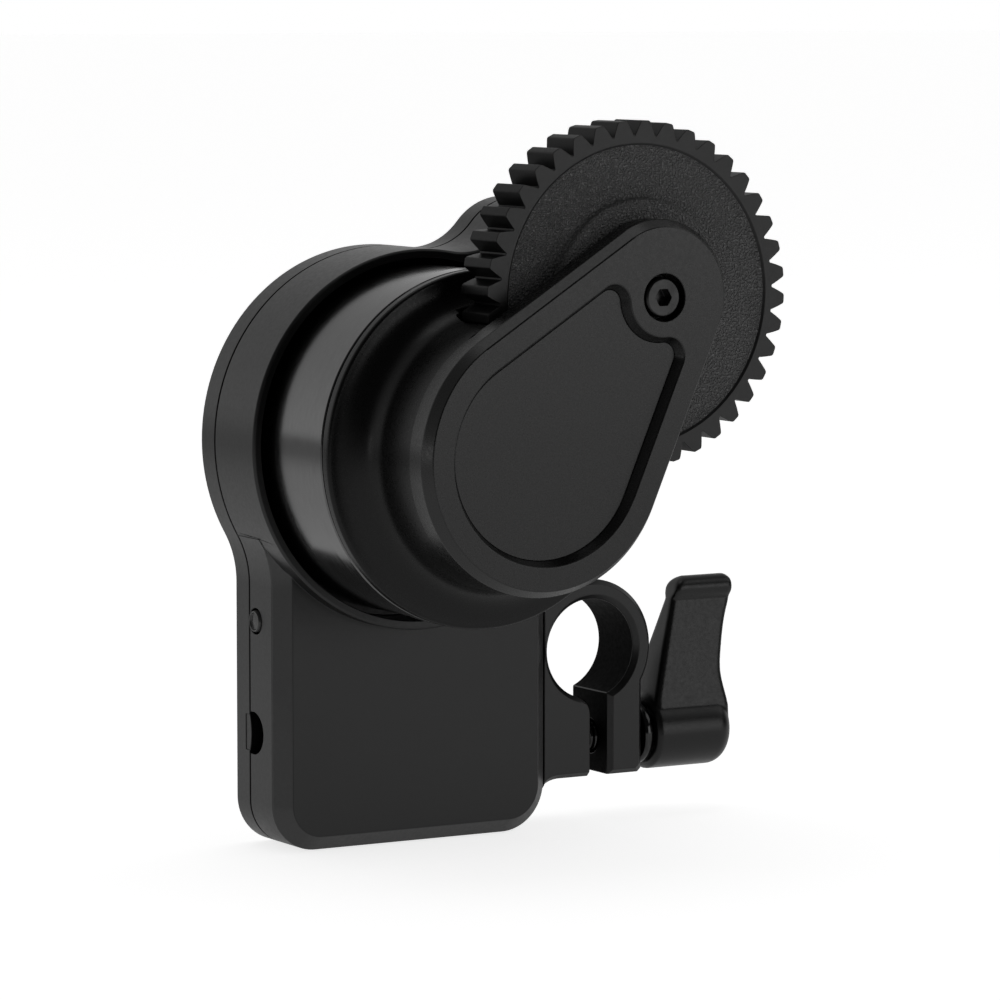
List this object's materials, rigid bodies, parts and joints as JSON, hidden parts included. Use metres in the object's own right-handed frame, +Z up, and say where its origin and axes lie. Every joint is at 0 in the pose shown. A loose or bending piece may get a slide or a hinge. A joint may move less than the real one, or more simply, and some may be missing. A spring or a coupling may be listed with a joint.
{
  "type": "motorized follow focus",
  "caption": "Geared focus motor: round motor with a gear arm and toothed wheel on a flat box with a split rod clamp and a lever.",
  "frame": {"origin": "on the axis of the rod bore, in the middle of the clamp bracket's thickness", "axes": "+Z up along the box towards the motor, -Y the front (the side of the gear arm), +X towards the clamp lever; gear and motor axes run along Y"},
  "size_m": [0.0593, 0.0357, 0.0722],
  "materials": {
    "anodised_black": "black anodised with a fine matt grain",
    "black_plastic": "moulded, leather-like grain on the gear's web",
    "steel": "turned",
    "blackened_steel": "blackened",
    "brass": "machined",
    "enamelled_copper": "wound wire, lacquered",
    "board": "lacquered circuit board",
    "light_guide": "clear, unlit"
  },
  "bodies": {
    "body": {"main_housing": "anodised_black", "rear_cover": "anodised_black", "cover_screw_1": "blackened_steel", "cover_screw_2": "blackened_steel", "cover_screw_3": "blackened_steel", "cover_screw_4": "blackened_steel", "cover_screw_5": "blackened_steel", "motor_axle": "steel", "stator_core": "steel", "stator_coil_1": "enamelled_copper", "stator_coil_2": "enamelled_copper", "stator_coil_3": "enamelled_copper", "stator_coil_4": "enamelled_copper", "stator_coil_5": "enamelled_copper", "stator_coil_6": "enamelled_copper", "stator_coil_7": "enamelled_copper", "stator_coil_8": "enamelled_copper", "stator_coil_9": "enamelled_copper", "idler_pin": "steel", "gear_arm": "anodised_black", "arm_cover_plate": "anodised_black", "arm_screw_1": "blackened_steel", "arm_screw_2": "blackened_steel", "arm_screw_3": "blackened_steel", "gear_axle_screw": "blackened_steel", "control_board": "board", "board_screw_1": "blackened_steel", "board_screw_2": "blackened_steel", "power_socket": "black_plastic", "status_light": "light_guide", "rod_clamp_bracket": "anodised_black", "bracket_screw_1": "blackened_steel", "bracket_screw_2": "blackened_steel"},
    "rotor": {"rotor_bell": "blackened_steel", "front_motor_bearing": "steel", "rear_motor_bearing": "steel", "rotor_magnet": "steel", "motor_pinion": "brass"},
    "idler": {"idler_gear": "brass"},
    "gear": {"follow_gear": "black_plastic", "drive_sleeve": "brass", "output_gear": "brass"},
    "clamp_screw": {"clamp_stud": "blackened_steel", "clamp_washer": "blackened_steel", "lever_screw": "blackened_steel", "lever_spring": "steel"},
    "lever": {"clamp_lever": "anodised_black"}
  },
  "joints": [
    {"name": "rotor_spin", "type": "hinge", "parent": "body", "child": "rotor", "pos_m": [-0.0218, 0, 0.0226], "axis": [0, 1, 0], "continuous": true},
    {"name": "idler_spin", "type": "hinge", "parent": "body", "child": "idler", "pos_m": [-0.01572, 0, 0.02967], "axis": [0, 1, 0], "continuous": true},
    {"name": "gear_spin", "type": "hinge", "parent": "body", "child": "gear", "pos_m": [-0.00899, 0, 0.0375], "axis": [0, 1, 0], "continuous": true},
    {"name": "clamp_turn", "type": "hinge", "parent": "body", "child": "clamp_screw", "pos_m": [0, 0, -0.0095], "axis": [1, 0, 0], "range_deg": [-30, 270]},
    {"name": "lever_pull", "type": "slide", "parent": "clamp_screw", "child": "lever", "axis": [1, 0, 0], "range_m": [0, 0.0018], "stiffness_N_per_m": 400, "deforming": ["lever_spring"]}
  ],
  "couplings": [
    {"joint": "idler_spin", "follows": "rotor_spin", "ratio": -0.6087},
    {"joint": "gear_spin", "follows": "rotor_spin", "ratio": 0.77778}
  ]
}
